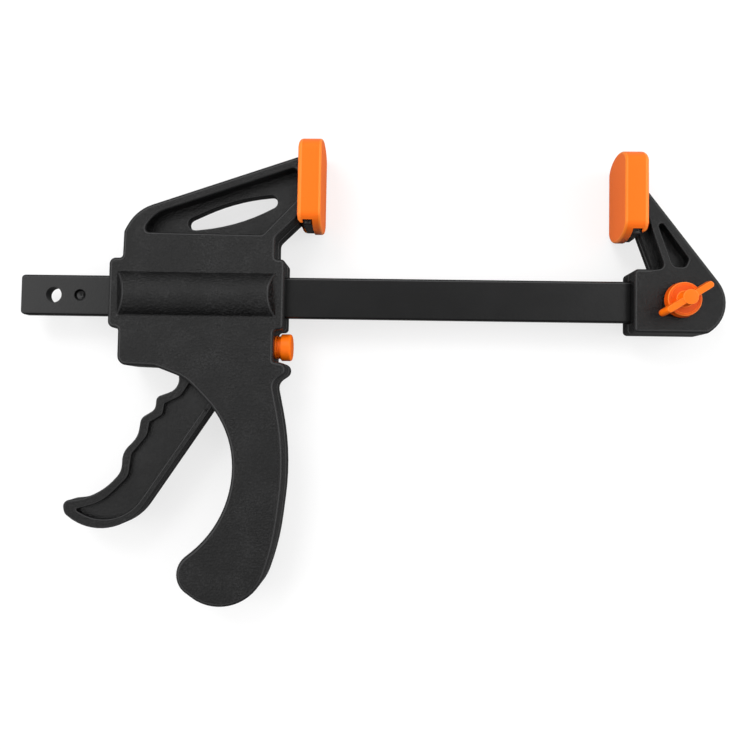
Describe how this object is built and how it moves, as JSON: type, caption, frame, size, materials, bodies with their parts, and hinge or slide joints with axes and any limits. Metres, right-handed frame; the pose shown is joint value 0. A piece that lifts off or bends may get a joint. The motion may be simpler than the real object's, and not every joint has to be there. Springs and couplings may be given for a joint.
{
  "type": "quick release bar clamp",
  "caption": "One-handed bar clamp: flat steel bar, bolted end jaw with wing knob, sliding jaw with hand lever and release button, slip-on pads on both jaws.",
  "frame": {"origin": "centre of the through hole in the bar's free end, halfway through the bar's thickness", "axes": "+X along the bar towards the fixed jaw, +Y from the bar towards the jaw tips, +Z across the thickness towards the wing knob"},
  "size_m": [0.2742, 0.1827, 0.0307],
  "materials": {
    "black_coated_steel": "satin black coating",
    "black_plastic": "fine matt moulded grain",
    "orange_plastic": "smooth satin moulding",
    "orange_pad": "soft satin moulding",
    "steel": "zinc-plated steel"
  },
  "bodies": {
    "bar": {"bar": "black_coated_steel", "fixed_jaw": "black_plastic", "fixed_jaw_pad": "orange_pad", "knob_nut": "steel"},
    "washer": {"knob_washer": "steel"},
    "knob": {"wing_knob": "orange_plastic", "knob_screw": "steel"},
    "jaw": {"front_shell": "black_plastic", "rear_shell": "black_plastic", "shell_screws": "steel", "moving_jaw_pad": "orange_pad", "trigger_pin": "steel", "brake_pin": "steel", "drive_spring": "steel", "brake_spring": "steel"},
    "trigger": {"trigger": "black_plastic", "striker_pin": "steel"},
    "drive_plates": {"drive_plate_front": "steel", "drive_plate_rear": "steel"},
    "button": {"release_button": "orange_plastic"},
    "brake": {"brake_plate": "steel"}
  },
  "joints": [
    {"name": "jaw_slide", "type": "slide", "parent": "bar", "child": "jaw", "axis": [1, 0, 0], "range_m": [-0.0343, 0.1154]},
    {"name": "knob_lift", "type": "slide", "parent": "bar", "child": "washer", "axis": [0, 0, 1], "range_m": [0, 0.003]},
    {"name": "knob_turn", "type": "hinge", "parent": "washer", "child": "knob", "pos_m": [0.244, 0, 0], "axis": [0, 0, 1], "range_deg": [0, 1080.5]},
    {"name": "trigger_squeeze", "type": "hinge", "parent": "jaw", "child": "trigger", "pos_m": [0.066, -0.027, 0], "axis": [0, 0, 1], "range_deg": [0, 22], "stiffness_Nm_per_rad": 0.25, "springref_deg": -17.19},
    {"name": "drive_slide", "type": "slide", "parent": "jaw", "child": "drive_plates", "axis": [1, 0, 0], "range_m": [-0.0055, 0], "deforming": ["drive_spring"]},
    {"name": "button_press", "type": "slide", "parent": "jaw", "child": "button", "axis": [-1, 0, 0], "range_m": [0, 0.00195], "stiffness_N_per_m": 500, "springref_m": -0.005, "deforming": ["brake_spring"]},
    {"name": "brake_tilt", "type": "hinge", "parent": "jaw", "child": "brake", "pos_m": [0.0826, 0.0123, 0], "axis": [0, 0, -1], "range_deg": [0, 3.5]}
  ],
  "couplings": [
    {"joint": "knob_turn", "follows": "knob_lift", "rad_per_m": 6283.2},
    {"joint": "drive_slide", "follows": "trigger_squeeze", "m_per_rad": -0.014},
    {"joint": "brake_tilt", "follows": "button_press", "rad_per_m": 31.31}
  ]
}
